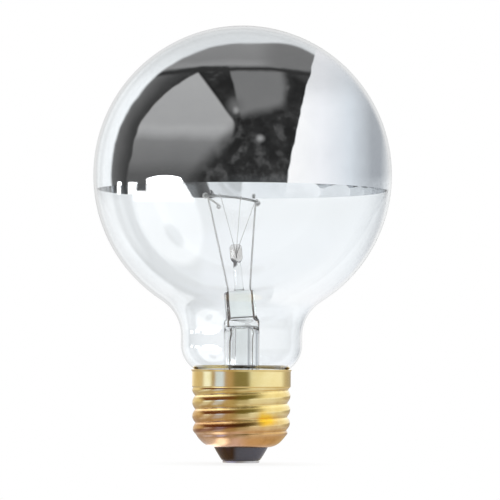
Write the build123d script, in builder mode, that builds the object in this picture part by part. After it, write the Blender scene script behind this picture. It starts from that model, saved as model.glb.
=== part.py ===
"""Half-mirrored globe lamp on an E26 screw cap, in millimetres.

The origin is the middle of the flat centre contact, +Z runs up the lamp's axis to the crown of the globe.
"""

import os
from math import asin, atan2, cos, degrees, hypot, radians, sin, sqrt, tan

from build123d import *

# Screw cap: shell of thin brass sheet with a rolled right-hand thread of seven turns to the inch
cap_height = 24.9
shell_wall = 0.3
thread_pitch = 25.4 / 7
thread_crest_diameter = 26.2
thread_root_diameter = 24.5
thread_crest_width = 0.9
thread_flank_angle = 43.0
crest_height_at_front_right = 17.85
collar_diameter = 26.4
collar_length = 4.6
rim_flare = 0.25
rim_flare_length = 1.0
shell_bottom_height = 4.2
taper_height = 7.9
taper_foot_height = 5.2
taper_foot_diameter = 19.6
bottom_flat_diameter = 15.5
thread_lead_in = 1.2

# Black glass insulator and flat centre contact
insulator_diameter = 14.6
insulator_neck_diameter = 14.3
insulator_neck_clearance = 0.05
insulator_belly_diameter = 12.7
insulator_belly_height = 2.0
insulator_flange_height = 1.5
contact_diameter = 9.8
contact_thickness = 0.4
contact_chamfer = 0.12
eyelet_diameter = 2.6
eyelet_wall = 0.4
eyelet_height = 2.4
eyelet_clearance = 0.05
centre_solder_height = 1.2

# Side solder, on the back of the collar
side_solder_radius = 1.5
side_solder_rise = 0.9
side_hole_clearance = 0.2

# Blown glass envelope
globe_diameter = 80.0
glass_wall = 0.7
neck_diameter = 32.4
neck_straight_length = 2.3
waist_radius = 11.0
shoulder_radius = 7.85
rim_clearance = 0.36
tail_clearance = 0.95
seal_depth = 11.9
cement_depth = 9.4

# Glass stem: flare tube, press and exhaust tube
flare_tube_diameter = 9.5
flare_wall = 0.9
flare_cone_height = 5.0
flare_lip_width = 1.3
flare_length = 25.2
stem_roof = 1.5
stem_shoulder = 1.2
press_width = 8.2
press_thickness = 3.6
press_height = 7.8
press_corner_radius = 1.6
press_root = 0.6
exhaust_diameter = 5.2
exhaust_wall = 0.9
exhaust_tip_length = 3.0
exhaust_tip_diameter = 1.8
exhaust_tip_clearance = 1.6
vent_diameter = 1.6
vent_height = 3.4

# The mount stands a little out of true, leaning left, with its lead wires turned from the front
mount_lean = 5.5
mount_turn = 20.0

# Button rod, above the press
rod_diameter = 2.4
button_diameter = 3.3
button_height = 7.5
button_length = 5.0
button_chamfer = 0.6

# Wires
seal_wire_diameter = 0.5
seal_wire_tail = 1.0
outer_lead_diameter = 0.4
centre_lead_slope = 1.6
side_lead_diameter = 0.3
inner_lead_diameter = 0.5
inner_lead_foot = 1.5
lead_tip_spacing = 14.6
right_tip_height = 30.7
left_tip_height = 33.9
support_diameter = 0.3
support_count = 3
support_root_depth = 1.2
hook_clearance = 0.08
hook_tail = 0.4

# Filament: the envelope of the fine coil, hung in straight spans from hook to hook
filament_diameter = 0.7
filament_tail = 0.9

# Sizes that follow from those above
crest_radius = thread_crest_diameter / 2
root_radius = thread_root_diameter / 2
collar_radius = collar_diameter / 2
collar_bore = collar_radius - shell_wall
core_bore = root_radius - shell_wall
collar_base = cap_height - collar_length
side_solder_height = (collar_base + cap_height - rim_flare_length) / 2
neck_radius = neck_diameter / 2
tail_radius = core_bore - tail_clearance
rim_glass_radius = collar_bore - rim_clearance
shoulder_centre_radius = neck_radius - shoulder_radius
shoulder_slope = (rim_glass_radius - shoulder_centre_radius) / shoulder_radius
tail_bend_radius = (rim_glass_radius - tail_radius) / (1 - shoulder_slope)
shoulder_height = cap_height + shoulder_radius * sqrt(1 - shoulder_slope**2)
waist_height = shoulder_height + neck_straight_length
globe_radius = globe_diameter / 2
waist_centre = (neck_radius + waist_radius, waist_height)
globe_rise = sqrt((globe_radius + waist_radius) ** 2 - waist_centre[0] ** 2)
globe_height = waist_height + globe_rise
tail_bend_height = cap_height - tail_bend_radius * sqrt(1 - shoulder_slope**2)
cement_top = min(tail_bend_height, side_solder_height - side_lead_diameter / 2 - side_hole_clearance)
seal_height = cap_height - seal_depth
stem_height = seal_height + flare_length
roof_height = stem_height - stem_roof
flare_radius = flare_tube_diameter / 2
flare_bore = flare_radius - flare_wall
exhaust_radius = exhaust_diameter / 2
exhaust_tip_height = seal_height - flare_wall - exhaust_tip_clearance
lead_offset = (exhaust_radius + flare_bore) / 2
seal_wire_foot = stem_roof + seal_wire_tail
eyelet_radius = eyelet_diameter / 2
insulator_top = shell_bottom_height + shell_wall + insulator_flange_height
side_lead_radius = (tail_radius + core_bore) / 2
side_lead_height = exhaust_tip_height + exhaust_tip_length / 4

# Planes of the mount: X runs through both lead wires, Z up the leaning stem
mount = Plane.XY.offset(stem_height).rotated((0, -mount_lean, 0)).rotated((0, 0, mount_turn))
lead_plane = Plane(mount.origin, x_dir=mount.x_dir, z_dir=-mount.y_dir)
right_tip = mount.from_local_coords(Vector(lead_tip_spacing / 2, 0, right_tip_height))
left_tip = mount.from_local_coords(Vector(-lead_tip_spacing / 2, 0, left_tip_height))
filament_middle = (right_tip + left_tip) / 2
filament_radius = (right_tip - left_tip).length / 2
tip_axis = (right_tip - left_tip).normalized()
filament_plane = Plane(filament_middle, x_dir=tip_axis, z_dir=tip_axis.cross(mount.y_dir))
support_angles = [-180 * (i + 1) / (support_count + 1) for i in range(support_count)]

os.makedirs("parts", exist_ok=True)


def polar(radius, angle):
    """Point in a plane at a radius and an angle in degrees."""
    return (radius * cos(radians(angle)), radius * sin(radians(angle)))


def envelope_line(inset):
    """Half outline of the glass, from crown to seal, moved inwards by inset."""
    globe_end = -degrees(atan2(globe_rise, waist_centre[0]))
    globe = CenterArc((0, globe_height), globe_radius - inset, 90, globe_end - 90)
    waist = TangentArc(globe @ 1, (neck_radius - inset, waist_height), tangent=globe % 1)
    neck = Line(waist @ 1, (neck_radius - inset, shoulder_height))
    shoulder_end = -degrees(asin(sqrt(1 - shoulder_slope**2)))
    rim = polar(shoulder_radius - inset, shoulder_end)
    rim_point = (shoulder_centre_radius + rim[0], shoulder_height + rim[1])
    shoulder = TangentArc(neck @ 1, rim_point, tangent=neck % 1)
    bend = TangentArc(shoulder @ 1, (tail_radius - inset, tail_bend_height), tangent=shoulder % 1)
    tail = Line(bend @ 1, (tail_radius - inset, seal_height))
    return globe @ 0, tail @ 1


def bent_wire(plane, points, diameter):
    """Solid round wire through points of a plane, bent sharply at each."""
    with BuildPart() as wire:
        with BuildLine(plane) as path:
            Polyline(*points)
        with BuildSketch(Plane(path.line @ 0, z_dir=path.line % 0)):
            Circle(diameter / 2)
        sweep(path=path.line, transition=Transition.RIGHT)
    return wire.part


def hook_points(knee, eye, diameter, side):
    """Bends of an open hook that comes up from knee and folds over the filament at eye.

    The hook folds to the left for side 1 and to the right for side -1.
    """
    gap = filament_diameter / 2 + hook_clearance + diameter / 2
    reach = hypot(eye[0] - knee[0], eye[1] - knee[1])
    heading = degrees(atan2(eye[1] - knee[1], eye[0] - knee[0]) - side * asin(gap / reach))
    ahead = Vector(*polar(gap, heading))
    across = Vector(*polar(gap, heading + side * 90))
    over = Vector(*eye) + ahead
    bends = [over - across, over + across, over + across - ahead - ahead.normalized() * hook_tail]
    return [(bend.X, bend.Y) for bend in bends]


def drop_point(foot):
    """Point under a seal wire's foot from which the outer lead hangs down midway round the exhaust tube."""
    outward = Vector(foot.X, foot.Y, 0).normalized() * lead_offset
    return Vector(outward.X, outward.Y, foot.Z - 3 * seal_wire_tail)


# Glass envelope, open at the seal
with BuildPart() as glass_bulb:
    with BuildSketch(Plane.XZ):
        with BuildLine():
            outer_crown, outer_seal = envelope_line(0)
            inner_crown, inner_seal = envelope_line(glass_wall)
            Line(outer_crown, inner_crown)
            Line(outer_seal, inner_seal)
        make_face()
    revolve(axis=Axis.Z)
glass_bulb.part.label = "glass_bulb"
export_step(glass_bulb.part, "parts/glass_bulb.step")

# Stem: trumpet-shaped flare tube closed by the flat press, with the seal wires' bores and the exhaust vent
with BuildPart() as stem_flare:
    with BuildSketch(Plane.XZ):
        with BuildLine():
            Polyline(
                (0, stem_height),
                (flare_radius - stem_shoulder, stem_height),
                (flare_radius, stem_height - stem_shoulder),
                (flare_radius, seal_height + flare_cone_height),
                (tail_radius - flare_lip_width, seal_height),
                (tail_radius, seal_height),
                (tail_radius, seal_height - flare_wall),
                (tail_radius - flare_lip_width, seal_height - flare_wall),
                (flare_bore, seal_height + flare_cone_height - flare_wall / 2),
                (flare_bore, roof_height),
                (0, roof_height),
                close=True,
            )
        make_face()
    revolve(axis=Axis.Z)
    with BuildSketch(mount.offset(-press_root)):
        RectangleRounded(press_width, press_thickness, press_corner_radius)
    extrude(amount=press_root + press_height)
    with BuildSketch(mount.offset(-seal_wire_foot)):
        with Locations((lead_offset, 0), (-lead_offset, 0)):
            Circle(seal_wire_diameter / 2)
    extrude(amount=seal_wire_foot + press_height, mode=Mode.SUBTRACT)
    with BuildSketch(mount.offset(-seal_wire_foot)):
        Circle(vent_diameter / 2)
    extrude(amount=seal_wire_foot + vent_height, mode=Mode.SUBTRACT)
    with BuildSketch(lead_plane):
        with Locations((0, vent_height)):
            Circle(vent_diameter / 2)
    extrude(amount=press_thickness, mode=Mode.SUBTRACT)
stem_flare.part.label = "stem_flare"
export_step(stem_flare.part, "parts/stem_flare.step")

# Exhaust tube, melted shut at its tip inside the cap
with BuildPart() as exhaust_tube:
    with BuildSketch(Plane.XZ):
        with BuildLine():
            Polyline(
                (exhaust_radius - exhaust_wall, roof_height),
                (exhaust_radius, roof_height),
                (exhaust_radius, exhaust_tip_height + exhaust_tip_length),
                (exhaust_tip_diameter / 2, exhaust_tip_height),
                (0, exhaust_tip_height),
                (0, exhaust_tip_height + exhaust_wall),
                (exhaust_radius - exhaust_wall, exhaust_tip_height + exhaust_tip_length),
                close=True,
            )
        make_face()
    revolve(axis=Axis.Z)
exhaust_tube.part.label = "exhaust_tube"
export_step(exhaust_tube.part, "parts/exhaust_tube.step")

# Copper-clad wires sealed in the press, and the nickel leads that stand on them
for name, side, tip_height in (("right", 1, right_tip_height), ("left", -1, left_tip_height)):
    with BuildPart() as seal_wire:
        with BuildSketch(mount.offset(-seal_wire_foot)):
            with Locations((side * lead_offset, 0)):
                Circle(seal_wire_diameter / 2)
        extrude(amount=seal_wire_foot + press_height)
    seal_wire.part.label = f"seal_wire_{name}"
    export_step(seal_wire.part, f"parts/seal_wire_{name}.step")

    foot = (side * lead_offset, press_height)
    knee = (side * lead_offset, press_height + inner_lead_foot)
    hook = hook_points(knee, (side * lead_tip_spacing / 2, tip_height), inner_lead_diameter, side)
    with BuildPart() as inner_lead:
        add(bent_wire(lead_plane, (foot, knee, *hook), inner_lead_diameter))
    inner_lead.part.label = f"inner_lead_{name}"
    export_step(inner_lead.part, f"parts/inner_lead_{name}.step")

# Support wires, fanned from the button to hooks round the filament
button_middle = mount.from_local_coords(Vector(0, 0, press_height + button_height + button_length / 2))
supports = []
for number, angle in enumerate(support_angles, 1):
    station = filament_plane.from_local_coords(Vector(*polar(filament_radius, angle)))
    along = filament_plane.from_local_coords(Vector(*polar(1, angle + 90))) - filament_middle
    reach = (station - button_middle).normalized()
    support_plane = Plane(button_middle, x_dir=reach, z_dir=along - reach * along.dot(reach))
    root = (support_root_depth, 0)
    hook = hook_points(root, (support_plane.to_local_coords(station).X, 0), support_diameter, 1)
    with BuildPart() as support_wire:
        add(bent_wire(support_plane, (root, *hook), support_diameter))
    support_wire.part.label = f"support_wire_{number}"
    export_step(support_wire.part, f"parts/support_wire_{number}.step")
    supports.append(support_wire.part)

# Button rod: glass cane on the press, melted to a bead round the feet of the support wires
with BuildPart() as button_rod:
    with BuildSketch(mount.offset(press_height + button_height)):
        Circle(button_diameter / 2)
    extrude(amount=button_length)
    chamfer(button_rod.edges().filter_by(GeomType.CIRCLE), button_chamfer)
    with BuildSketch(mount.offset(press_height)):
        Circle(rod_diameter / 2)
    extrude(amount=button_height)
    for support in supports:
        add(support, mode=Mode.SUBTRACT)
button_rod.part.label = "button_rod"
export_step(button_rod.part, "parts/button_rod.step")

# Filament, in straight spans over the lead and support hooks, with a short tail past each lead
stations = [Vector(*polar(filament_radius, angle)) for angle in (0, *support_angles, -180)]
stations[0] += (stations[0] - stations[1]).normalized() * filament_tail
stations[-1] += (stations[-1] - stations[-2]).normalized() * filament_tail
with BuildPart() as filament:
    add(bent_wire(filament_plane, [(station.X, station.Y) for station in stations], filament_diameter))
filament.part.label = "filament"
export_step(filament.part, "parts/filament.step")

# Outer lead to the centre contact
left_foot = mount.from_local_coords(Vector(-lead_offset, 0, -seal_wire_foot))
left_drop = drop_point(left_foot)
centre_turn = (insulator_top + exhaust_tip_height) / 2
centre_route = (
    left_foot,
    left_foot - mount.z_dir * seal_wire_tail,
    left_drop,
    (left_drop.X, left_drop.Y, centre_turn + centre_lead_slope / 2),
    (0, 0, centre_turn - centre_lead_slope / 2),
    (0, 0, contact_thickness),
)
with BuildPart() as outer_lead_centre:
    add(bent_wire(Plane.XY, centre_route, outer_lead_diameter))
outer_lead_centre.part.label = "outer_lead_centre"
export_step(outer_lead_centre.part, "parts/outer_lead_centre.step")

# Outer lead to the side solder: under the flare, up through the cement and out at the back of the collar
right_foot = mount.from_local_coords(Vector(lead_offset, 0, -seal_wire_foot))
right_drop = drop_point(right_foot)
side_lead_end = collar_radius + side_solder_rise / 3
side_route = (
    right_foot,
    right_foot - mount.z_dir * seal_wire_tail,
    right_drop,
    (right_drop.X, right_drop.Y, side_lead_height),
    (0, side_lead_radius, side_lead_height),
    (0, side_lead_radius, side_solder_height),
    (0, side_lead_end, side_solder_height),
)
with BuildPart() as outer_lead_side:
    add(bent_wire(Plane.XY, side_route, side_lead_diameter))
outer_lead_side.part.label = "outer_lead_side"
export_step(outer_lead_side.part, "parts/outer_lead_side.step")

# Thread ridge, wound up from the tapered bottom of the shell into the collar
ridge_foot = shell_wall / 2
ridge_rise = crest_radius - root_radius
flank_run = (ridge_rise + ridge_foot) / tan(radians(thread_flank_angle))
ridge_half_crest = thread_crest_width / 2
ridge_start = crest_height_at_front_right - 3 * thread_pitch
with BuildPart() as thread_ridge:
    with BuildLine() as helix:
        Helix(thread_pitch, collar_base - ridge_start, root_radius, center=(0, 0, ridge_start))
    with BuildSketch(Plane((root_radius, 0, ridge_start), x_dir=(1, 0, 0), z_dir=(0, -1, 0))):
        with BuildLine():
            Polyline(
                (-ridge_foot, -ridge_half_crest - flank_run),
                (ridge_rise, -ridge_half_crest),
                (ridge_rise, ridge_half_crest),
                (-ridge_foot, ridge_half_crest + flank_run),
                close=True,
            )
        make_face()
    sweep(path=helix.line, is_frenet=True)

# Screw shell: threaded barrel trimmed to a tapered bottom, collar with flared rim, bored to thin sheet
hole_radius = insulator_neck_diameter / 2
taper_foot = taper_foot_diameter / 2
bottom_flat = bottom_flat_diameter / 2
rim_radius = collar_radius + rim_flare
with BuildPart() as screw_shell:
    with BuildSketch():
        Circle(root_radius)
    extrude(amount=cap_height)
    add(thread_ridge.part)
    with BuildSketch(Plane.XZ):
        with BuildLine():
            Polyline(
                (0, shell_bottom_height),
                (bottom_flat, shell_bottom_height),
                (taper_foot, taper_foot_height),
                (root_radius, taper_height),
                (rim_radius, taper_height + thread_lead_in),
                (rim_radius, cap_height),
                (0, cap_height),
                close=True,
            )
        make_face()
    revolve(axis=Axis.Z, mode=Mode.INTERSECT)
    with BuildSketch(Plane.XZ):
        with BuildLine():
            Polyline(
                (0, collar_base),
                (collar_radius, collar_base),
                (collar_radius, cap_height - rim_flare_length),
                (rim_radius, cap_height),
                (0, cap_height),
                close=True,
            )
        make_face()
    revolve(axis=Axis.Z)
    with BuildSketch(Plane.XZ):
        with BuildLine():
            Polyline(
                (0, shell_bottom_height),
                (hole_radius, shell_bottom_height),
                (hole_radius, shell_bottom_height + shell_wall),
                (bottom_flat, shell_bottom_height + shell_wall),
                (taper_foot - shell_wall, taper_foot_height + shell_wall),
                (core_bore, taper_height),
                (core_bore, collar_base + shell_wall),
                (collar_bore, collar_base + shell_wall),
                (collar_bore, cap_height - rim_flare_length),
                (collar_bore + rim_flare, cap_height),
                (0, cap_height),
                close=True,
            )
        make_face()
    revolve(axis=Axis.Z, mode=Mode.SUBTRACT)
    with BuildSketch(Plane.XZ):
        with Locations((0, side_solder_height)):
            Circle(side_lead_diameter / 2 + side_hole_clearance)
    extrude(amount=-rim_radius, mode=Mode.SUBTRACT)
screw_shell.part.label = "screw_shell"
export_step(screw_shell.part, "parts/screw_shell.step")

# Basing cement between the glass tail and the cap, with the side lead's channel
with BuildPart() as basing_cement:
    with BuildSketch(Plane.XZ):
        with BuildLine():
            Polyline(
                (tail_radius, cap_height - cement_depth),
                (core_bore, cap_height - cement_depth),
                (core_bore, collar_base + shell_wall),
                (collar_bore, collar_base + shell_wall),
                (collar_bore, cement_top),
                (tail_radius, cement_top),
                close=True,
            )
        make_face()
    revolve(axis=Axis.Z)
    with BuildSketch(Plane.XY.offset(cap_height - cement_depth)):
        with Locations((0, side_lead_radius)):
            Circle(side_lead_diameter / 2)
    extrude(amount=cement_depth, mode=Mode.SUBTRACT)
basing_cement.part.label = "basing_cement"
export_step(basing_cement.part, "parts/basing_cement.step")

# Insulator: bulged black glass cone, locked in the hole of the shell
with BuildPart() as insulator:
    with BuildSketch(Plane.XZ):
        with BuildLine():
            Polyline(
                (contact_diameter / 2, contact_thickness),
                (insulator_belly_diameter / 2, insulator_belly_height),
                (insulator_diameter / 2, shell_bottom_height),
                (hole_radius - insulator_neck_clearance, shell_bottom_height),
                (hole_radius - insulator_neck_clearance, shell_bottom_height + shell_wall),
                (bottom_flat, shell_bottom_height + shell_wall),
                (bottom_flat, insulator_top),
                (eyelet_radius + eyelet_clearance, insulator_top),
                (eyelet_radius + eyelet_clearance, contact_thickness),
                close=True,
            )
        make_face()
    revolve(axis=Axis.Z)
insulator.part.label = "insulator"
export_step(insulator.part, "parts/insulator.step")

# Centre contact: flat disc with an eyelet up into the insulator
with BuildPart() as centre_contact:
    with BuildSketch():
        Circle(contact_diameter / 2)
    extrude(amount=contact_thickness)
    chamfer(centre_contact.edges().group_by(Axis.Z)[0], contact_chamfer)
    with BuildSketch(Plane.XY.offset(contact_thickness)):
        Circle(eyelet_radius)
    extrude(amount=eyelet_height)
    with BuildSketch():
        Circle(eyelet_radius - eyelet_wall)
    extrude(amount=contact_thickness + eyelet_height, mode=Mode.SUBTRACT)
centre_contact.part.label = "centre_contact"
export_step(centre_contact.part, "parts/centre_contact.step")

# Solder that fills the eyelet flush round the centre lead
with BuildPart() as centre_solder:
    with BuildSketch():
        Circle(eyelet_radius - eyelet_wall)
    extrude(amount=centre_solder_height)
    add(outer_lead_centre.part, mode=Mode.SUBTRACT)
centre_solder.part.label = "centre_solder"
export_step(centre_solder.part, "parts/centre_solder.step")

# Solder drop over the side lead
with BuildPart() as side_solder:
    with Locations((0, collar_radius + side_solder_rise - side_solder_radius, side_solder_height)):
        Sphere(side_solder_radius)
    with BuildSketch():
        Circle(collar_radius)
    extrude(amount=cap_height, mode=Mode.SUBTRACT)
    add(outer_lead_side.part, mode=Mode.SUBTRACT)
side_solder.part.label = "side_solder"
export_step(side_solder.part, "parts/side_solder.step")

print(f"overall length {globe_height + globe_radius:.2f} mm, globe centre at {globe_height:.2f} mm")
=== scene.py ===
"""Looks of the half-mirrored globe lamp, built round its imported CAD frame. Sizes are in millimetres."""

import math

import bpy
from mathutils import Matrix, Vector


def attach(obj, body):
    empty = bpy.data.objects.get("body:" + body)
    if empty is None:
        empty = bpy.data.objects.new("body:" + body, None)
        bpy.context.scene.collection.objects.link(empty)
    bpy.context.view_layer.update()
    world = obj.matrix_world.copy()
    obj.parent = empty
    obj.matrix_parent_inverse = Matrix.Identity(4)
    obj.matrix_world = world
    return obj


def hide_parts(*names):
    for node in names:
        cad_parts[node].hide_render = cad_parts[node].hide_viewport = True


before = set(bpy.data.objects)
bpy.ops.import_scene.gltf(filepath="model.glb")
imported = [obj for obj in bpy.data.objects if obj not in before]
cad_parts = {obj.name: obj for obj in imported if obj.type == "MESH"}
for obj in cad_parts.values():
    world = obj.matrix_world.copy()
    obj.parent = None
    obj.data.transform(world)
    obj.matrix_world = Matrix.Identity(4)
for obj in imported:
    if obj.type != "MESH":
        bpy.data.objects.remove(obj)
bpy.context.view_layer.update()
MM = 0.001

# Glass envelope. A centre is a radius and a height.
GLASS_WALL = 0.7
GLOBE_RADIUS = 39.98
GLOBE_HEIGHT = 76.979
GLOBE_SEGMENTS = 160
WAIST_CENTRE = (27.2, 33.838)
WAIST_RADIUS = 11.0
SHOULDER_CENTRE = (8.35, 31.538)
SHOULDER_RADIUS = 7.85
TAIL_BEND_CENTRE = (14.303, 22.107)
TAIL_BEND_RADIUS = 3.303
TAIL_RADIUS = 11.0
SEAL_HEIGHT = 13.0

# Mirror film
FILM_GAP = 0.03
FILM_THICKNESS = 0.02
FILM_EDGE_HEIGHT = 72.8

# Screw cap
THREAD_PITCH = 25.4 / 7
THREAD_MEAN = 12.675
THREAD_DEPTH = 0.85
THREAD_RUN_IN = (6.8, 8.6)
THREAD_RUN_OUT = (19.2, 20.3)
CREST_AT_RIGHT = 17.85
COLLAR_RADIUS = 13.2
SHEET = 0.3
SHELL_SEGMENTS = 176
CAP_TOP = 24.9
CAP_BOTTOM = 4.2

# Stem
STEM_HEIGHT = 38.2
STEM_SEGMENTS = 96
CANE_SEGMENTS = 64
TUBE_RADIUS = 4.75
TUBE_BORE = 3.85
TUBE_ROOF = 36.7
EXHAUST_RADIUS = 2.6
EXHAUST_BORE = 1.7
EXHAUST_TOP = 36.68
PRESS_HEIGHT = 7.8
PRESS_HALF_WIDTH = 4.1
PRESS_HALF_DEPTH = 1.8

# Mount, in its own leaning frame above the stem
MOUNT_LEAN = 5.5
MOUNT_TURN = 20.0
BUTTON_FOOT = 15.3
BUTTON_LENGTH = 5.0
LEAD_OFFSET = 3.225
LEAD_FOOT = 1.5
RIGHT_TIP_HEIGHT = 30.7
LEFT_TIP_HEIGHT = 33.9
TIP_SPACING = 14.6
SUPPORT_ANGLES = (-45, -90, -135)
SUPPORT_ROOT = 1.2

# Wires
LEAD_WIRE_RADIUS = 0.25
SUPPORT_WIRE_RADIUS = 0.11
FILAMENT_WIRE_RADIUS = 0.05
FILAMENT_RADIUS = 0.35
FILAMENT_TURNS = 120.0
FILAMENT_TAIL = 0.9
LEAD_HOOK = FILAMENT_RADIUS + 0.27
SUPPORT_HOOK = FILAMENT_RADIUS + 0.13
BENT_END_HOOK = 0.4
HOOK_ANGLES = (-100, -60, -20, 20, 60, 100, 140, 180, 215)

# Camera, in metres and degrees
CAMERA_PLACE = Vector((0.0021, -0.84, 0.025))
CAMERA_AIM = Vector((0.0021, 0.0, 0.0569))
CAMERA_LENS = 226.0
CAMERA_ROLL = 0.35


# Outlines and surfaces


def turned(vector, angle, axis):
    """Vector turned by an angle in degrees about an axis, X, Y or Z."""
    return Matrix.Rotation(math.radians(angle), 3, axis) @ Vector(vector)


MOUNT_BASE = Vector((0, 0, STEM_HEIGHT))
MOUNT_X, MOUNT_Y, MOUNT_Z = (
    turned(turned(v, -MOUNT_LEAN, "Y"), MOUNT_TURN, "Z") for v in ((1, 0, 0), (0, 1, 0), (0, 0, 1))
)


def on_mount(across, depth, height):
    """Point in the row frame, from its place on the leaning mount."""
    return MOUNT_BASE + MOUNT_X * across + MOUNT_Y * depth + MOUNT_Z * height


def smooth(low, high, x):
    """Smooth step from 0 at low to 1 at high."""
    t = min(max((x - low) / (high - low), 0), 1)
    return t * t * (3 - 2 * t)


def arc(centre, radius, start, end, steps):
    """Points (radius, height) along an arc, angles in degrees."""
    angles = [math.radians(start + (end - start) * i / steps) for i in range(steps + 1)]
    return [(centre[0] + radius * math.cos(a), centre[1] + radius * math.sin(a)) for a in angles]


def rounded(points, passes):
    """Open line of points with its corners cut, again and again."""
    points = [Vector(p) for p in points]
    for _ in range(passes):
        cut = [points[0]]
        for a, b in zip(points, points[1:]):
            cut += [a.lerp(b, 0.25), a.lerp(b, 0.75)]
        points = cut + [points[-1]]
    return points


def evenly(points, step):
    """The same line in steps of about one length."""
    points = [Vector(p) for p in points]
    even = [points[0]]
    for a, b in zip(points, points[1:]):
        count = max(1, round((b - a).length / step))
        even += [a.lerp(b, (i + 1) / count) for i in range(count)]
    return even


def ring(radius, height, segments, wave=None):
    """Level ring of points round the lamp's axis, or one point on the axis. A wave moves its points in or out."""
    if radius < 1e-6:
        return [Vector((0, 0, height))]
    points = []
    for i in range(segments):
        angle = 2 * math.pi * i / segments
        r = radius + (wave(angle, height) if wave else 0)
        points.append(Vector((r * math.cos(angle), r * math.sin(angle), height)))
    return points


def in_metres(points):
    """Points in metres, from millimetres."""
    return [tuple(c * MM for c in p) for p in points]


def put(name, data):
    """Object in the scene for a mesh or a camera."""
    piece = bpy.data.objects.new(name, data)
    bpy.context.scene.collection.objects.link(piece)
    return piece


def skin(name, rings, material, closed=False, sharp=None):
    """Piece with a surface through rings of points, each below the last on the outside. One point is a pole."""
    vertices, faces, starts = [], [], []
    for points in rings:
        starts.append(len(vertices))
        vertices += in_metres(points)
    order = list(range(len(rings))) + ([0] if closed else [])
    for upper, lower in zip(order, order[1:]):
        a, b = starts[upper], starts[lower]
        count = max(len(rings[upper]), len(rings[lower]))
        for i in range(count):
            j = (i + 1) % count
            if len(rings[upper]) == 1:
                faces.append((a, b + i, b + j))
            elif len(rings[lower]) == 1:
                faces.append((a + i, b, a + j))
            else:
                faces.append((a + i, b + i, b + j, a + j))
    mesh = bpy.data.meshes.new(name)
    mesh.from_pydata(vertices, [], faces)
    mesh.polygons.foreach_set("use_smooth", [True] * len(faces))
    if sharp:
        mesh.set_sharp_from_angle(angle=math.radians(sharp))
    mesh.materials.append(material)
    return put(name, mesh)


def lathe(name, outline, material, segments, closed=False, sharp=None):
    """Turned piece from an outline of (radius, height), which runs down the outside first."""
    return skin(name, [ring(r, z, segments) for r, z in outline], material, closed, sharp)


def settle(piece, slot, *nodes):
    """Piece rides on the lamp and stands for the nodes. Its slot is not used."""
    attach(piece, "root")
    if nodes:
        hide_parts(*nodes)


# Shader maths


class Flow:
    """A node socket that takes part in Python arithmetic."""

    VALUES_OF_VECTORS = ("DISTANCE", "DOT_PRODUCT", "LENGTH")

    def __init__(self, tree, socket=None):
        self.tree = tree
        self.socket = socket

    def make(self, kind, settings=None, sockets=None, out=0):
        """Adds a node of a kind with its settings, then its socket values or links. Gives one output."""
        node = self.tree.nodes.new("ShaderNode" + kind)
        for key, value in (settings or {}).items():
            if key == "stops":
                ramp = node.color_ramp
                while len(ramp.elements) < len(value):
                    ramp.elements.new(1.0)
                for element, (place, colour) in zip(ramp.elements, value):
                    element.position = place
                    element.color = (*colour, 1.0)
            else:
                setattr(node, key, value)
        for key, value in (sockets or {}).items():
            if isinstance(value, Flow):
                self.tree.links.new(value.socket, node.inputs[key])
            else:
                node.inputs[key].default_value = value
        return Flow(self.tree, node.outputs[out])

    def outputs(self, *names):
        """Outputs by name of the node that this one comes from."""
        return [Flow(self.tree, self.socket.node.outputs[name]) for name in names]

    def math(self, operation, *values):
        return self.make("Math", {"operation": operation}, dict(enumerate(values)))

    def __add__(self, other):
        return self.math("ADD", self, other)

    def __radd__(self, other):
        return self.math("ADD", other, self)

    def __sub__(self, other):
        return self.math("SUBTRACT", self, other)

    def __rsub__(self, other):
        return self.math("SUBTRACT", other, self)

    def __mul__(self, other):
        return self.math("MULTIPLY", self, other)

    def __rmul__(self, other):
        return self.math("MULTIPLY", other, self)

    def __truediv__(self, other):
        return self.math("DIVIDE", self, other)

    def __rtruediv__(self, other):
        return self.math("DIVIDE", other, self)

    def __pow__(self, other):
        return self.math("POWER", self, other)

    def vector(self, operation, other=None, scale=None):
        """Vector maths on this vector and another, or a scale."""
        sockets = {0: self}
        if other is not None:
            sockets[1] = other
        if scale is not None:
            sockets["Scale"] = scale
        out = "Value" if operation in self.VALUES_OF_VECTORS else "Vector"
        return self.make("VectorMath", {"operation": operation}, sockets, out)

    def parts(self):
        """The x, y and z parts of this vector."""
        return self.make("SeparateXYZ", None, {0: self}).outputs("X", "Y", "Z")

    def step(self, low, high):
        """Smooth step from 0 at low to 1 at high."""
        sockets = {"Value": self, "From Min": low, "From Max": high}
        return self.make("MapRange", {"interpolation_type": "SMOOTHSTEP"}, sockets)

    def band(self, low, high, soft):
        """1 between low and high, with soft edges."""
        return self.step(low - soft, low + soft) * self.step(high + soft, high - soft)

    def mix(self, factor, colour):
        """This colour, mixed towards another, or towards a value as a grey."""
        sockets = {"Factor": factor, 6: self, 7: colour if isinstance(colour, Flow) else (*colour, 1.0)}
        return self.make("Mix", {"data_type": "RGBA"}, sockets, 2)

    def ramp(self, *stops):
        return self.make("ValToRGB", {"stops": stops}, {"Fac": self})

    def noise(self, scale, detail=3.0, rough=0.5):
        """Noise over this vector, as a value from 0 to 1."""
        sockets = {"Vector": self, "Scale": scale, "Detail": detail, "Roughness": rough}
        return self.make("TexNoise", None, sockets)

    def bump(self, strength, distance):
        """Normal that shows this value as a height."""
        return self.make("Bump", None, {"Strength": strength, "Distance": distance, "Height": self})


# Finishes


def finish_of(name, values):
    """New material with its shader's plain values set. Gives the material, its Object coordinates and the shader."""
    material = bpy.data.materials.new(name)
    material.use_nodes = True
    shader = material.node_tree.nodes["Principled BSDF"]
    for key, value in values.items():
        shader.inputs[key].default_value = value
    return material, Flow(material.node_tree).make("TexCoord", out="Object"), shader


def feed(shader, **flows):
    """Links values that vary over the surface to the shader."""
    for key, flow in flows.items():
        flow.tree.links.new(flow.socket, shader.inputs[key.replace("_", " ")])


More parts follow.
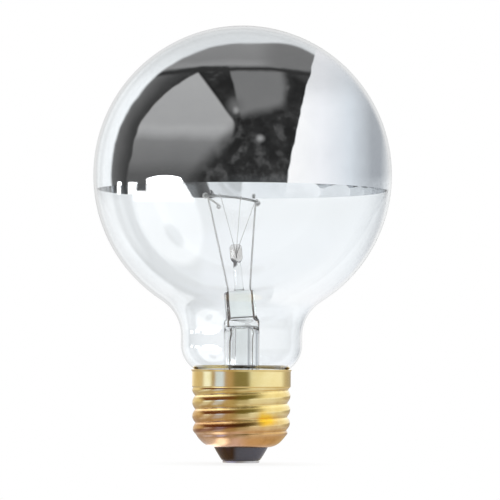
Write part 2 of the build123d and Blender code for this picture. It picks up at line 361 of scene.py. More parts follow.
def blown_glass(name, thin, thick, ior, waves, sheen=1.0, tint_patches=()):
    """Clear glass whose tint and surface vary a little.

    Each tint patch has a centre, the radii where it is full and where it ends, and a colour.
    """
    values = {"Transmission Weight": 1.0, "IOR": ior, "Roughness": 0.0}
    values["Specular Tint"] = (sheen, sheen, sheen, 1.0)
    material, place, shader = finish_of(name, values)
    tint = place.noise(28.0, 2.0).ramp((0.0, thin), (1.0, thick))
    for centre, full, end, colour in tint_patches:
        tint = tint.mix(place.vector("DISTANCE", centre * MM).step(end * MM, full * MM), colour)
    feed(shader, Base_Color=tint, Normal=place.noise(waves, 1.0).bump(0.04, 0.0006))
    return material


def mirror_silver():
    """Evaporated silver film, a little mottled."""
    material, place, shader = finish_of("mirror_silver", {"Metallic": 1.0})
    cloud = place.noise(90.0, 4.0, 0.6)
    silver = cloud.ramp((0.3, (0.84, 0.85, 0.86)), (0.7, (0.9, 0.905, 0.91)))
    feed(shader, Base_Color=silver, Roughness=0.012 + place.noise(900.0, 2.0) * 0.02)
    return material


def rolled_brass():
    """Bright brass sheet, coppery in the lower turns, stained in the roots, with an orange spot, a painted highlight
    low on the left and a painted dark reflection band.
    """
    material, place, shader = finish_of("rolled_brass", {"Metallic": 1.0})
    x, y, z = place.parts()
    front = y.step(0.0, -0.006)
    crest = ((x * x + y * y) ** 0.5).step(0.0123, 0.0131)
    cloud = place.noise(140.0, 4.0, 0.6)

    low = (z + (cloud - 0.5) * 0.007 + x * 0.2).step(0.0155, 0.009)
    gold = cloud.ramp((0.3, (0.80, 0.58, 0.20)), (0.7, (0.9, 0.70, 0.30)))
    copper = cloud.ramp((0.3, (0.6, 0.32, 0.1)), (0.7, (0.72, 0.42, 0.17)))
    # Painted highlight: paler copper low on the left side of the cap.
    copper = copper.mix(z.step(0.0095, 0.0075) * x.step(0.003, -0.003) * 0.7, (0.75, 0.5, 0.32))
    brass_tone_and_painted_light = gold.mix(low * (1.0 - crest * 0.15), copper)

    # Painted dark reflection: a dark band along the lowest turn, on the front only.
    painted_dark_band = (z - x * 0.14).band(0.0098, 0.0107, 0.0003) * x.step(0.0055, 0.0005) * front
    brass_tone_and_painted_light = brass_tone_and_painted_light.mix(painted_dark_band * 0.85, (0.3, 0.11, 0.05))
    rise, side = (z - 0.0117) * 1.5, x - 0.0066
    from_spot = (rise * rise + side * side) ** 0.5 + (cloud - 0.5) * 0.004
    brass_tone_and_painted_light = brass_tone_and_painted_light.mix(from_spot.step(0.0036, 0.0006) * front * 0.85, (1.0, 0.56, 0.02))
    stain = (1.0 - crest) * place.noise(420.0, 3.0).step(0.45, 0.75) * 0.35
    brass_tone_and_painted_light = brass_tone_and_painted_light.mix(stain, (0.42, 0.24, 0.1))

    along = place.make("CombineXYZ", None, {"X": x * 0.02, "Y": y * 0.02, "Z": z})
    rolling_lines = along.noise(2600.0, 2.0).bump(0.05, 0.0001)
    feed(shader, Base_Color=brass_tone_and_painted_light, Roughness=0.16 + cloud * 0.08 + low * 0.02, Normal=rolling_lines)
    return material


def black_glass():
    """Opaque black glass with a fired gloss, brown-black, with a painted reflection that makes its right side paler
    and bluish.
    """
    values = {"IOR": 1.45, "Specular IOR Level": 0.25, "Roughness": 0.2}
    material, place, shader = finish_of("black_glass", values)
    colour = place.noise(260.0, 3.0).ramp((0.3, (0.034, 0.014, 0.003)), (0.7, (0.046, 0.02, 0.005)))
    # Painted reflection: the right side is paler and bluish.
    colour = colour.mix(place.parts()[0].step(-0.0024, -0.0008), (0.1, 0.098, 0.116))
    feed(shader, Base_Color=colour, Normal=place.noise(500.0, 2.0).bump(0.05, 0.0001))
    return material


def metal(name, dark, light, rough, grain, metallic=1.0):
    """Drawn wire, tinned sheet or solder. A dull one is less metallic."""
    material, place, shader = finish_of(name, {"Metallic": metallic})
    colour = place.noise(grain, 3.0, 0.6).ramp((0.3, dark), (0.7, light))
    fine = place.noise(grain * 6, 2.0)
    feed(shader, Base_Color=colour, Roughness=rough + fine * 0.15, Normal=fine.bump(0.15, 0.00005))
    return material


def fired_cement():
    """Coarse pale cement."""
    material, place, shader = finish_of("fired_cement", {"Roughness": 0.85})
    grit = place.noise(1400.0, 4.0, 0.7)
    colour = grit.ramp((0.3, (0.5, 0.4, 0.28)), (0.7, (0.74, 0.64, 0.5)))
    feed(shader, Base_Color=colour, Normal=grit.bump(0.5, 0.0002))
    return material


BUTTON_MIDDLE = on_mount(0, 0, BUTTON_FOOT + BUTTON_LENGTH / 2)
stem_tint_patches = (
    # green tint on the press, a grey tint on the bead and a near-black patch at the bead's foot
    (on_mount(0, 0, PRESS_HEIGHT / 2), 3.4, 5.6, (0.88, 0.92, 0.895)),
    (BUTTON_MIDDLE, 1.8, 3.1, (0.69, 0.66, 0.63)),
    (on_mount(-1.3, -0.45, BUTTON_FOOT + 0.1), 0.9, 1.6, (0.03, 0.028, 0.026)),
)
clear_tints = ((0.996, 0.9995, 0.998), (0.99, 0.998, 0.994))
envelope_glass = blown_glass("envelope_glass", (0.968, 0.987, 0.998), (0.96, 0.982, 0.996), 1.5, 22.0)
stem_glass = blown_glass("stem_glass", *clear_tints, 1.42, 120.0, tint_patches=stem_tint_patches)
tube_glass = blown_glass("tube_glass", *clear_tints, 1.42, 120.0, sheen=0.25)
film_silver = mirror_silver()
cap_brass = rolled_brass()
insulator_glass = black_glass()
nickel = metal("nickel", (0.68, 0.67, 0.65), (0.8, 0.79, 0.77), 0.45, 700.0, 0.1)
molybdenum = metal("molybdenum", (0.76, 0.76, 0.75), (0.86, 0.85, 0.84), 0.45, 700.0, 0.1)
tungsten = metal("tungsten", (0.4, 0.4, 0.4), (0.52, 0.51, 0.5), 0.4, 1500.0, 0.2)
clad_copper = metal("clad_copper", (0.3, 0.25, 0.22), (0.42, 0.34, 0.29), 0.35, 900.0)
tinned_copper = metal("tinned_copper", (0.46, 0.42, 0.39), (0.6, 0.55, 0.51), 0.3, 900.0)
tin = metal("tin", (0.6, 0.56, 0.5), (0.74, 0.7, 0.63), 0.5, 500.0)
solder = metal("solder", (0.48, 0.48, 0.48), (0.68, 0.68, 0.67), 0.25, 400.0)
cement = fired_cement()


# Wires, made by one node tree from a path of points


def wire_tree():
    """Geometry nodes: a round wire along the path, wound into a coil where the coil's radius isn't zero."""
    tree = bpy.data.node_groups.new("wound_wire", "GeometryNodeTree")
    tree.interface.new_socket("Geometry", in_out="INPUT", socket_type="NodeSocketGeometry")
    inputs = {
        "Wire Radius": "Float", "Coil Radius": "Float", "Turns": "Float", "Steps": "Int", "Sides": "Int",
        "Finish": "Material",
    }
    for name, kind in inputs.items():
        tree.interface.new_socket(name, in_out="INPUT", socket_type="NodeSocket" + kind)
    tree.interface.new_socket("Geometry", in_out="OUTPUT", socket_type="NodeSocketGeometry")

    def add(kind, sockets=None, settings=None):
        """Adds a node with its settings, then its socket values or links. Gives its outputs."""
        node = tree.nodes.new(kind)
        for key, value in (settings or {}).items():
            setattr(node, key, value)
        for key, value in (sockets or {}).items():
            if isinstance(value, bpy.types.NodeSocket):
                tree.links.new(value, node.inputs[key])
            else:
                node.inputs[key].default_value = value
        return node.outputs

    def maths(operation, *values):
        return add("ShaderNodeMath", dict(enumerate(values)), {"operation": operation})[0]

    def vector(operation, sockets):
        return add("ShaderNodeVectorMath", sockets, {"operation": operation})[0]

    given = add("NodeGroupInput")
    path = add("GeometryNodeMeshToCurve", {"Mesh": given["Geometry"]})[0]
    even = add("GeometryNodeResampleCurve", {"Curve": path, "Count": given["Steps"]})[0]
    along = add("GeometryNodeSplineParameter")["Factor"]
    angle = maths("MULTIPLY", maths("MULTIPLY", along, given["Turns"]), 2 * math.pi)
    normal = add("GeometryNodeInputNormal")[0]
    side = vector("CROSS_PRODUCT", {0: add("GeometryNodeInputTangent")[0], 1: normal})
    out, over = (
        vector("SCALE", {0: axis, "Scale": maths("MULTIPLY", maths(wave, angle), given["Coil Radius"])})
        for axis, wave in ((normal, "COSINE"), (side, "SINE"))
    )
    wound = add("GeometryNodeSetPosition", {"Geometry": even, "Offset": vector("ADD", {0: out, 1: over})})[0]
    circle = {"Resolution": given["Sides"], "Radius": given["Wire Radius"]}
    section = add("GeometryNodeCurvePrimitiveCircle", circle)[0]
    tube = add("GeometryNodeCurveToMesh", {"Curve": wound, "Profile Curve": section, "Fill Caps": True})[0]
    soft = add("GeometryNodeSetShadeSmooth", {"Geometry": tube})[0]
    real = add("GeometryNodeRealizeInstances", {"Geometry": soft})[0]
    done = add("GeometryNodeSetMaterial", {"Geometry": real, "Material": given["Finish"]})[0]
    tree.links.new(done, tree.nodes.new("NodeGroupOutput").inputs[0])
    return tree


WOUND_WIRE = wire_tree()


def wire(name, points, radius, material, steps, sides=10, coil=0.0, turns=0.0):
    """Round wire along points, or a coil about them, as a plain mesh. Corners are rounded by the caller."""
    path = bpy.data.meshes.new(name)
    path.from_pydata(in_metres(points), [(i, i + 1) for i in range(len(points) - 1)], [])
    piece = put(name, path)
    modifier = piece.modifiers.new("wound_wire", "NODES")
    modifier.node_group = WOUND_WIRE
    values = {
        "Wire Radius": radius * MM, "Coil Radius": coil * MM, "Turns": turns, "Steps": steps, "Sides": sides,
        "Finish": material,
    }
    for item in WOUND_WIRE.interface.items_tree:
        if item.in_out == "INPUT" and item.name in values:
            modifier[item.identifier] = values[item.name]
    solid = bpy.data.meshes.new_from_object(piece.evaluated_get(bpy.context.evaluated_depsgraph_get()))
    piece.modifiers.clear()
    piece.data = solid
    solid.name = name
    return piece


# Glass envelope and its mirror film


def envelope(inset):
    """Half outline of the glass from crown to seal, moved inwards."""
    end = math.degrees(math.atan2(GLOBE_HEIGHT - WAIST_CENTRE[1], WAIST_CENTRE[0]))
    reach = SHOULDER_RADIUS + TAIL_BEND_RADIUS
    bend = math.degrees(math.acos((TAIL_BEND_CENTRE[0] - SHOULDER_CENTRE[0]) / reach))
    line = arc((0, GLOBE_HEIGHT), GLOBE_RADIUS - inset, 90, -end, 84)
    line[0] = (0, line[0][1])
    line += arc(WAIST_CENTRE, WAIST_RADIUS + inset, 180 - end, 180, 20)[1:]
    line += arc(SHOULDER_CENTRE, SHOULDER_RADIUS - inset, 0, -bend, 18)
    line += arc(TAIL_BEND_CENTRE, TAIL_BEND_RADIUS + inset, 180 - bend, 180, 10)[1:]
    return line + [(TAIL_RADIUS - inset, z) for z in (19.0, 16.0, SEAL_HEIGHT)]


glass_line = envelope(0) + envelope(GLASS_WALL)[::-1]
settle(lathe("globe_glass", glass_line, envelope_glass, GLOBE_SEGMENTS), "clear_glass", "glass_bulb")


def film_outline(radius):
    """Half outline of the film from crown to edge."""
    edge = math.degrees(math.asin((FILM_EDGE_HEIGHT - GLOBE_HEIGHT) / radius))
    line = arc((0, GLOBE_HEIGHT), radius, 90, edge, 64)
    return [(0, line[0][1])] + line[1:]


film_radius = GLOBE_RADIUS - GLASS_WALL - FILM_GAP
film_line = film_outline(film_radius) + film_outline(film_radius - FILM_THICKNESS)[::-1]
settle(lathe("mirror_film", film_line, film_silver, GLOBE_SEGMENTS, sharp=40), "mirror_film")


# Screw shell with its rolled thread


def thread(angle, height):
    """How far the sheet stands out of its mean line at a place on the shell."""
    fade = smooth(*THREAD_RUN_IN, height) * (1 - smooth(*THREAD_RUN_OUT, height))
    turn = angle - 2 * math.pi * (height - CREST_AT_RIGHT) / THREAD_PITCH
    return THREAD_DEPTH * fade * (math.sqrt(math.cos(turn / 2) ** 2 + 0.002) ** 0.9 - 0.5)


outer_line = [
    (13.3, CAP_TOP), (13.45, CAP_TOP), (13.42, 24.65), (COLLAR_RADIUS, 24.4), (COLLAR_RADIUS, 24.1),
    (COLLAR_RADIUS, 20.6), (COLLAR_RADIUS, 20.3), (THREAD_MEAN, 19.9), (THREAD_MEAN, 8.7), (11.85, 7.1),
    (10.85, 5.9), (9.8, 4.95), (8.3, 4.3), (7.15, CAP_BOTTOM),
]
inner_line = [
    (7.15, CAP_BOTTOM + SHEET), (7.9, CAP_BOTTOM + SHEET), (9.55, 5.3), (10.6, 6.2), (11.6, 7.4),
    (THREAD_MEAN - SHEET, 8.8), (THREAD_MEAN - SHEET, 19.8), (COLLAR_RADIUS - SHEET, 20.9),
    (COLLAR_RADIUS - SHEET, 23.9), (13.15, 24.7), (13.2, CAP_TOP),
]
shell_line = evenly(rounded(outer_line, 3), 0.14) + evenly(rounded(inner_line, 2), 0.24)
shell_rings = [ring(r, z, SHELL_SEGMENTS, thread) for r, z in shell_line]
settle(skin("threaded_shell", shell_rings, cap_brass, closed=True), "cap_brass", "screw_shell")


# Insulator, contact and solder

insulator_line = rounded([
    (7.75, 6.0), (7.75, 4.55), (7.1, 4.52), (7.1, 4.19), (7.22, 4.18), (6.12, 2.25), (5.2, 0.85), (4.95, 0.66),
    (1.36, 0.65), (1.36, 6.0),
], 2)
contact_line = rounded([
    (4.86, 0.63), (4.9, 0.57), (4.9, 0.12), (4.78, 0.0), (1.5, 0.0), (1.05, 0.08), (0.9, 0.3), (0.9, 2.8),
    (1.3, 2.8), (1.3, 0.63),
], 2)
bead_line = [(0, 1.2), *rounded([(0.86, 1.2), (0.88, 0.3), (0.8, 0.1), (0.45, 0.03)], 2), (0, 0.02)]
insulator_cone = lathe("insulator_cone", insulator_line, insulator_glass, 128, closed=True, sharp=35)
settle(insulator_cone, "black_glass", "insulator")
settle(lathe("contact_disc", contact_line, tin, 96, closed=True), "tinned_contact", "centre_contact")
settle(lathe("centre_bead", bead_line, solder, 48), "solder", "centre_solder")


# Stem, pressed flat at its top


def stem_ring(blend, height, scale=1.0):
    """Ring that is the press's section at blend 0, where it leans with the mount, and the upright tube's at 1."""
    wide = (PRESS_HALF_WIDTH + (TUBE_RADIUS - PRESS_HALF_WIDTH) * blend) * scale
    flat = 1 - (1 - scale) * PRESS_HALF_WIDTH / PRESS_HALF_DEPTH if blend == 0 else scale
    deep = max((PRESS_HALF_DEPTH + (TUBE_RADIUS - PRESS_HALF_DEPTH) * blend) * flat, 0.2)
    power = 2 / (4.5 - 2.5 * blend)
    points = []
    for i in range(STEM_SEGMENTS):
        c, s = (f(2 * math.pi * i / STEM_SEGMENTS) for f in (math.cos, math.sin))
        across = wide * math.copysign(abs(c) ** power, c)
        depth = deep * math.copysign(abs(s) ** power, s)
        leaning = on_mount(across, depth, height)
        upright = MOUNT_BASE + turned((across, depth, height), MOUNT_TURN, "Z")
        points.append(leaning.lerp(upright, blend))
    return points


press_edge = (
    (0.0, 0.62), (0.02, 0.8), (0.1, 0.9), (0.28, 0.965), (0.6, 1.0), (2.0, 1.0), (4.0, 1.0), (6.2, 1.0),
)
press_to_tube = (
    (0.03, 1.0), (0.12, 0.55), (0.35, 0.25), (0.62, 0.0), (0.85, -0.3), (0.96, -0.8), (1.0, -1.5),
)
flare_line = rounded([
    (TUBE_RADIUS, 34.0), (TUBE_RADIUS, 30.0), (TUBE_RADIUS, 26.0), (TUBE_RADIUS, 18.5), (5.3, 15.0),
    (8.0, SEAL_HEIGHT), (TAIL_RADIUS, SEAL_HEIGHT), (TAIL_RADIUS, 12.1), (7.6, 12.1), (4.6, 14.0),
    (TUBE_BORE, 17.6), (TUBE_BORE, 24.0), (TUBE_BORE, 30.0), (TUBE_BORE, TUBE_ROOF), (1.2, TUBE_ROOF), (0, TUBE_ROOF),
], 2)
stem_rings = [[on_mount(0, 0, PRESS_HEIGHT)]]
stem_rings += [stem_ring(0, PRESS_HEIGHT - drop, scale) for drop, scale in press_edge]
stem_rings += [stem_ring(blend, height) for blend, height in press_to_tube]
for r, z in flare_line[:-1]:
    stem_rings.append([turned(p, MOUNT_TURN, "Z") for p in ring(r, z, STEM_SEGMENTS)])
stem_rings.append(ring(0, TUBE_ROOF, 1))
settle(skin("pressed_stem", stem_rings, stem_glass), "stem_glass", "stem_flare")

exhaust_line = rounded([
    (EXHAUST_BORE, EXHAUST_TOP), (EXHAUST_RADIUS, EXHAUST_TOP), (EXHAUST_RADIUS, 30.0), (EXHAUST_RADIUS, 20.0),
    (EXHAUST_RADIUS, 13.5), (0.95, 10.6), (0.0, 10.5),
], 2)
exhaust_bore = rounded([
    (0.0, 11.4), (0.9, 12.0), (EXHAUST_BORE, 13.8), (EXHAUST_BORE, 24.0), (EXHAUST_BORE, EXHAUST_TOP),
], 2)
settle(lathe("exhaust_glass", exhaust_line + exhaust_bore, tube_glass, 64), "stem_glass", "exhaust_tube")


def cane_ring(radius, height):
    """Ring of the button rod, square to the leaning mount."""
    if radius < 1e-6:
        return [on_mount(0, 0, height)]
    angles = [2 * math.pi * i / CANE_SEGMENTS for i in range(CANE_SEGMENTS)]
    return [on_mount(radius * math.cos(a), radius * math.sin(a), height) for a in angles]


BUTTON_TOP = BUTTON_FOOT + BUTTON_LENGTH
CANE_FOOT = PRESS_HEIGHT + 0.02
cane_line = rounded([
    (0, BUTTON_TOP), (1.1, BUTTON_TOP), (1.68, BUTTON_TOP - 0.7), (1.65, BUTTON_TOP - 2.5),
    (1.66, BUTTON_FOOT + 0.9), (0.95, BUTTON_FOOT + 0.1), (0.95, BUTTON_FOOT - 0.3), (1.15, BUTTON_FOOT - 1.2),
    (1.15, 12.0), (1.18, 8.4), (1.5, CANE_FOOT), (0, CANE_FOOT),
], 2)
settle(skin("button_cane", [cane_ring(r, h) for r, h in cane_line], stem_glass), "stem_glass", "button_rod")


# Wires of the mount

right_tip = on_mount(TIP_SPACING / 2, 0, RIGHT_TIP_HEIGHT)
left_tip = on_mount(-TIP_SPACING / 2, 0, LEFT_TIP_HEIGHT)
tip_axis = (right_tip - left_tip).normalized()
arch_middle = (right_tip + left_tip) / 2
arch_radius = (right_tip - left_tip).length / 2


def on_arch(angle):
    """Point on the filament's arch, whose ends are the lead tips."""
    a = math.radians(angle)
    return arch_middle + tip_axis * (arch_radius * math.cos(a)) + MOUNT_Y * (arch_radius * math.sin(a))


def hook(start, eye, over, gap, side):
    """Bends of a small hook that comes up from start and folds round a wire at eye, which runs along over."""
    ahead = (eye - start).normalized()
    across = over.cross(ahead).normalized() * side
    angles = [math.radians(angle) for angle in HOOK_ANGLES]
    return [eye + (ahead * math.cos(a) + across * math.sin(a)) * gap for a in angles]


for side, name, tip in ((1, "right", right_tip), (-1, "left", left_tip)):
    foot, knee = (on_mount(side * LEAD_OFFSET, 0, PRESS_HEIGHT + rise) for rise in (0, LEAD_FOOT))
    route = [foot, knee, *hook(knee, tip, MOUNT_Y, LEAD_HOOK, side)]
    steps = 90
    if name == "left":
        # Its spare end is bent down again, towards the axis.
        bent_end = tip + MOUNT_X * 3.2 - MOUNT_Y * 0.7 - MOUNT_Z * 3.3
        route += hook(tip, bent_end, MOUNT_Y, BENT_END_HOOK, 1)
        steps = 160
    lead = wire(f"lead_{name}", rounded(route, 2), LEAD_WIRE_RADIUS, nickel, steps)
    settle(lead, "nickel_wire", f"inner_lead_{name}")
    sealed = [on_mount(side * LEAD_OFFSET, 0, h) for h in (-2.5, 3.0, PRESS_HEIGHT)]
    seal = wire(f"seal_{name}", sealed, LEAD_WIRE_RADIUS, clad_copper, 12)
    settle(seal, "copper_clad_wire", f"seal_wire_{name}")

for number, angle in enumerate(SUPPORT_ANGLES, 1):
    arch_way = on_arch(angle + 1) - on_arch(angle - 1)
    route = [BUTTON_MIDDLE - MOUNT_Z * SUPPORT_ROOT, BUTTON_MIDDLE]
    route += hook(BUTTON_MIDDLE, on_arch(angle), arch_way, SUPPORT_HOOK, 1)
    support = wire(f"support_{number}", rounded(route, 2), SUPPORT_WIRE_RADIUS, molybdenum, 90, 8)
    settle(support, "molybdenum_wire", f"support_wire_{number}")

spans = [on_arch(angle) for angle in (0, *SUPPORT_ANGLES, -180)]
first_tail = spans[0] + (spans[0] - spans[1]).normalized() * FILAMENT_TAIL
last_tail = spans[-1] + (spans[-1] - spans[-2]).normalized() * FILAMENT_TAIL
coil_path = rounded([first_tail, *spans[1:-1], last_tail], 1)
coil_radius = FILAMENT_RADIUS - 0.06
coil = wire("filament_coil", coil_path, FILAMENT_WIRE_RADIUS, tungsten, 1500, 6, coil_radius, FILAMENT_TURNS)
settle(coil, "tungsten_coil", "filament")


# Pieces that keep their CAD solid

kept_finishes = {
    "outer_lead_centre": tinned_copper, "outer_lead_side": tinned_copper, "basing_cement": cement,
    "side_solder": solder,
}
for node, material in kept_finishes.items():
    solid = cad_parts[node].data
    solid.materials.clear()
    solid.materials.append(material)


# Studio: world, floor and camera. In the world, u runs right and w up over the front of a mirror ball, from -1 to 1
# at its outline, so each light and dark field has the place where the lamp shows it.


def halfway(direction, viewer, right, up):
    """Direction half way from the viewer to what a mirror shows them, with its parts along two axes."""
    both = direction.vector("ADD", viewer).vector("NORMALIZE")
    return both, both.vector("DOT_PRODUCT", right), both.vector("DOT_PRODUCT", up)


def grey(level):
    return (level, level, level)


def round_light(u, w):
    """Round white light low on the left, with a dull hub, bars beside it and pale cloth beyond a gap."""
    up = (w + 0.254) / 0.348
    across = (u + 0.492 + (w + 0.254) * 0.29) / 0.214
    out = (across * across + up * up) ** 0.5
    high = w.step(-0.19, -0.12)
    disc = out.step(1.08 - high * 0.1, 0.88 + high * 0.06)
    disc = disc * (w + (u + 0.51) ** 2.0 * 1.4).step(-0.002, -0.014)
    disc = disc * (1.0 - u.step(-0.63, -0.64) * w.step(-0.12, -0.1))
    from_hub_u, from_hub_w = u + 0.448, w + 0.401
    along = from_hub_u * 0.6 - from_hub_w * 0.8
    aside = from_hub_u * 0.8 + from_hub_w * 0.6
    hub = ((along / 0.095) ** 2.0 + (aside / 0.045) ** 2.0).step(1.4, 0.3)
    cloth = out.band(1.3, 2.3, 0.06) * across.step(0.0, -0.5) * up.step(-1.1, -0.5)
    cloth = cloth * (u * u + w * w).step(0.98, 0.55)
    bars = (u.band(-0.829, -0.809, 0.006) + u.band(-0.756, -0.7, 0.006)) * w.band(-0.13, -0.052, 0.008)
    return disc * (1.0 - hub) * (1.6 + high * 12.0) + cloth * (1.0 - high) * 0.8 + bars * 12.0


def dim_studio(half, u, w, rho):
    """Dark wall with a grey board, a panel, small glints and a ceiling."""
    wall = half.noise(9.0, 4.0, 0.6).ramp((0.4, grey(0.018)), (0.6, grey(0.032)), (0.75, grey(0.1)))
    wall = wall.mix(half.noise(14.0, 2.0).step(0.46, 0.8) * w.step(0.5, 0.3), grey(0.085))
    wall_edge = rho.ramp((0.78, grey(0.05)), (0.82, grey(0.085)), (0.87, grey(0.14)))
    wall = wall.mix(rho.step(0.72, 0.78), wall_edge)
    board = (rho + w * 0.05).step(0.775, 0.76) * ((u + 0.284) * 0.3 + (w - 0.661) * 0.22).step(0.004, -0.004)
    board = board * ((u + 0.06) * 0.214 - (w - 0.308) * 0.18).step(0.02, -0.02) * u.step(-0.045, -0.075)
    board_tone = w.ramp(
        (0.0, grey(0.1)), (0.1, grey(0.165)), (0.22, grey(0.2)), (0.28, grey(0.345)), (0.31, grey(0.38)),
        (0.35, grey(0.345)), (0.7, grey(0.375)),
    )
    panel = (u - 0.085 + w * 0.25).step(-0.012, 0.012) * u.step(0.31, 0.24)
    panel = panel * (w - 0.385 - u * 0.27).step(-0.04, 0.05)
    seen = wall.mix(board, board_tone).mix(panel, grey(0.172))
    glints = ((0.12, 0.241, 0.04, 0.3), (-0.05, 0.46, 0.09, 0.13), (-0.043, 0.428, 0.035, 0.28))
    for right, high, size, tone in glints:
        away = ((u - right) ** 2.0 + (w - high) ** 2.0) ** 0.5
        seen = seen.mix(away.step(size, 0.0), grey(tone))
    arch = w + u * u * 0.12
    ceiling = arch.ramp((0.7, grey(0.16)), (0.74, grey(0.26)), (0.78, grey(0.21)), (0.9, grey(0.24)))
    ceiling = ceiling.mix(u.step(0.05, 0.25), grey(0.165))
    seen = seen.mix(arch.band(0.69, 0.715, 0.012), grey(0.03)).mix(arch.step(0.715, 0.735), ceiling)
    return seen.vector("MULTIPLY", (1.0, 0.965, 0.945))


def studio_in_glass(direction, echo):
    """What smooth glass and the mirror show: the dim studio, a lit screen on its right and a pale rim about both.

    An echo, which has been turned back more than once, shows plain white below the mirror and no round light.
    """
    half, u, w = halfway(direction, (0.0, -0.998, -0.062), (1.0, 0.0, 0.0), (0.0, -0.062, 0.998))
    light = round_light(u, w)
    edge = (u * u + w * w) ** 0.5
    bend = (half.noise(5.0, 2.0) - 0.5) * 0.04 * edge.step(0.95, 0.8)
    u, w = u + bend, w - bend
    rho = (u * u + w * w) ** 0.5
    across = u * 0.5 + 0.5
    screen = across.ramp(
        (0.64, (0.93, 0.89, 0.87)), (0.7, (0.9, 0.87, 0.86)), (0.76, (0.84, 0.82, 0.83)),
        (0.86, (0.64, 0.66, 0.69)), (0.93, (0.36, 0.37, 0.39)), (0.96, (0.34, 0.35, 0.37)), (1.0, (0.7, 0.7, 0.7)),
    )
    screen = screen.mix(w.step(0.45, 0.65) * 0.3, grey(0.3))
    rim = rho.ramp(
        (0.88, grey(0.88)), (0.93, grey(0.84)), (0.95, grey(0.7)), (0.965, grey(0.84)), (0.98, grey(0.6)),
        (1.0, grey(0.55)),
    )
    rim = rim.mix(w.step(0.5, 0.9) * 0.6, grey(0.5))
    past = u - 0.3 - w * (w * 0.06 + 0.17)
    inside = (rho - u.step(0.0, 0.4) * 0.06).step(0.885, 0.865) * past.step(0.006, -0.006)
    seen = rim.mix(past.step(-0.006, 0.006), screen).mix(edge.step(0.96, 0.99), grey(0.62))
    seen = seen.mix(inside, dim_studio(half, u, w, rho))
    foot = across.ramp((0.35, (0.06, 0.055, 0.05)), (0.38, (0.42, 0.42, 0.48)), (0.6, (0.34, 0.35, 0.4)))
    foot = foot.mix(w.step(-0.4, -0.25), grey(0.2))
    seen = seen.mix(w.step(-0.08, -0.2) * rho.step(0.85, 0.7), foot)
    seen = seen.mix(echo * w.step(0.02, -0.06) * (0.02 + u.step(-0.2, 0.05) * 0.9), grey(0.97))
    return seen.vector("SCALE", scale=1.25).vector("ADD", light * (1.0 - echo))


def table_in_brass(direction):
    """What the brass cap shows: lit strips at its own level, dark and then bright above, a bright table far below."""
    _, u, w = halfway(direction, (0.0, -1.0, 0.0), (1.0, 0.0, 0.0), (0.0, 0.0, 1.0))
    across = u * 0.5 + 0.5
    level = across.ramp(
        (0.0, (0.48, 0.48, 0.46)), (0.03, (0.3, 0.28, 0.24)), (0.11, (0.26, 0.24, 0.22)), (0.13, (0.48, 0.6, 0.96)),
        (0.19, (0.48, 0.6, 0.96)), (0.205, (0.2, 0.17, 0.14)), (0.23, (0.2, 0.17, 0.14)), (0.245, (0.33, 0.49, 1.25)),
        (0.32, (0.33, 0.49, 1.25)), (0.335, (0.22, 0.18, 0.16)), (0.4, (0.22, 0.18, 0.15)), (0.44, (0.1, 0.1, 0.07)),
        (0.57, (0.1, 0.1, 0.06)), (0.6, (0.4, 0.46, 0.6)), (0.9, (0.44, 0.5, 0.65)), (0.94, (0.23, 0.23, 0.24)),
        (1.0, (0.16, 0.15, 0.13)),
    )
    dark = across.ramp(
        (0.08, (0.34, 0.32, 0.28)), (0.14, (0.065, 0.02, 0.01)), (0.4, (0.065, 0.028, 0.012)),
        (0.48, (0.06, 0.055, 0.022)), (0.62, (0.08, 0.08, 0.045)), (0.74, (0.42, 0.44, 0.46)),
    )
    above = across.ramp(
        (0.06, (0.4, 0.38, 0.34)), (0.13, (0.75, 0.78, 0.9)), (0.36, (0.8, 0.85, 1.0)), (0.46, (0.34, 0.32, 0.26)),
        (0.58, (0.36, 0.36, 0.32)), (0.7, (0.52, 0.57, 0.64)),
    )
    below = across.ramp(
        (0.1, (0.22, 0.2, 0.18)), (0.3, (0.2, 0.17, 0.14)), (0.45, (0.22, 0.2, 0.16)), (0.5, (0.3, 0.32, 0.38)),
        (0.75, (0.32, 0.33, 0.4)), (0.95, (0.22, 0.2, 0.18)),
    )
    table = across.ramp(
        (0.1, (0.22, 0.2, 0.18)), (0.27, (0.31, 0.31, 0.33)), (0.3, (0.85, 0.87, 0.9)), (0.36, (0.85, 0.87, 0.9)),
        (0.4, (0.24, 0.2, 0.18)), (0.46, (0.35, 0.33, 0.42)), (0.55, (0.31, 0.28, 0.28)), (0.85, (0.28, 0.25, 0.16)),
    )
    below = below.mix(w.step(-0.54, -0.44) * 0.36, level)
    seen = level.mix(w.step(0.03, 0.08), dark).mix(w.step(0.43, 0.54), above)
    seen = seen.mix(w.step(-0.05, -0.12), below).mix(w.step(-0.58, -0.64), table)
    return seen.vector("SCALE", scale=2.5)


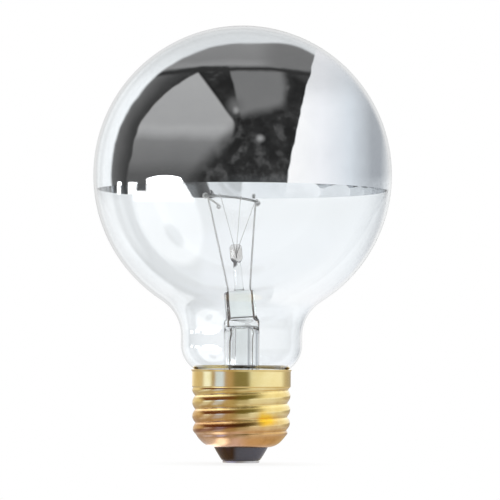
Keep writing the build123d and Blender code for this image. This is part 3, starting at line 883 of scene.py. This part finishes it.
def studio_world():
    """White behind the lamp and for soft light, the studio for smooth glass and the mirror, the table for brass."""
    world = bpy.data.worlds.new("studio")
    world.use_nodes = True
    bpy.context.scene.world = world
    start = Flow(world.node_tree)
    direction = start.make("TexCoord", out="Generated")
    scattered, turned_back, passed, sharp = start.make("LightPath").outputs(
        "Diffuse Depth", "Glossy Depth", "Is Transmission Ray", "Is Singular Ray",
    )
    in_glass = studio_in_glass(direction, turned_back.step(1.4, 1.6))
    seen = table_in_brass(direction).mix(start.math("MAXIMUM", passed, sharp), in_glass)
    seen = seen.mix(scattered.step(0.4, 0.6), 0.9 + passed * 0.6)
    seen = seen.mix((turned_back + scattered).step(0.6, 0.4), grey(1.0))
    background = world.node_tree.nodes["Background"]
    world.node_tree.links.new(seen.socket, background.inputs["Color"])


def pale_floor():
    """Floor that looks white as the world does, and keeps a soft shade near the lamp's foot."""
    material = bpy.data.materials.new("floor_white")
    material.use_nodes = True
    nodes = material.node_tree.nodes
    nodes.remove(nodes["Principled BSDF"])
    start = Flow(material.node_tree)
    far = start.make("TexCoord", out="Object").vector("LENGTH").step(0.006, 0.03)
    turned_back, scattered = start.make("LightPath").outputs("Glossy Depth", "Diffuse Depth")
    direct = (turned_back + scattered).step(0.6, 0.4)
    chalk = start.make("BsdfDiffuse", None, {"Color": (0.9, 0.9, 0.9, 1.0)})
    lit = start.make("Emission", None, {"Color": (1.0, 1.0, 1.0, 1.0), "Strength": 1.0})
    both = start.make("MixShader", None, {"Fac": direct * (0.85 + far * 0.15), 1: chalk, 2: lit})
    material.node_tree.links.new(both.socket, nodes["Material Output"].inputs["Surface"])
    mesh = bpy.data.meshes.new("floor")
    corners = [(-3, -3, -0.0003), (3, -3, -0.0003), (3, 3, -0.0003), (-3, 3, -0.0003)]
    mesh.from_pydata(corners, [], [(0, 1, 2, 3)])
    mesh.materials.append(material)
    floor = put("floor", mesh)
    floor.visible_glossy = floor.visible_transmission = False


studio_world()
pale_floor()

camera_data = bpy.data.cameras.new("camera")
camera_data.lens = CAMERA_LENS
camera_data.sensor_width = 36.0
camera = put("camera", camera_data)
camera.location = CAMERA_PLACE
camera.rotation_euler = (CAMERA_AIM - CAMERA_PLACE).to_track_quat("-Z", "Y").to_euler()
camera.rotation_euler.rotate_axis("Z", math.radians(CAMERA_ROLL))

scene = bpy.context.scene
scene.camera = camera
scene.cycles.max_bounces = 24
scene.cycles.glossy_bounces = 12
scene.view_settings.view_transform = "Standard"
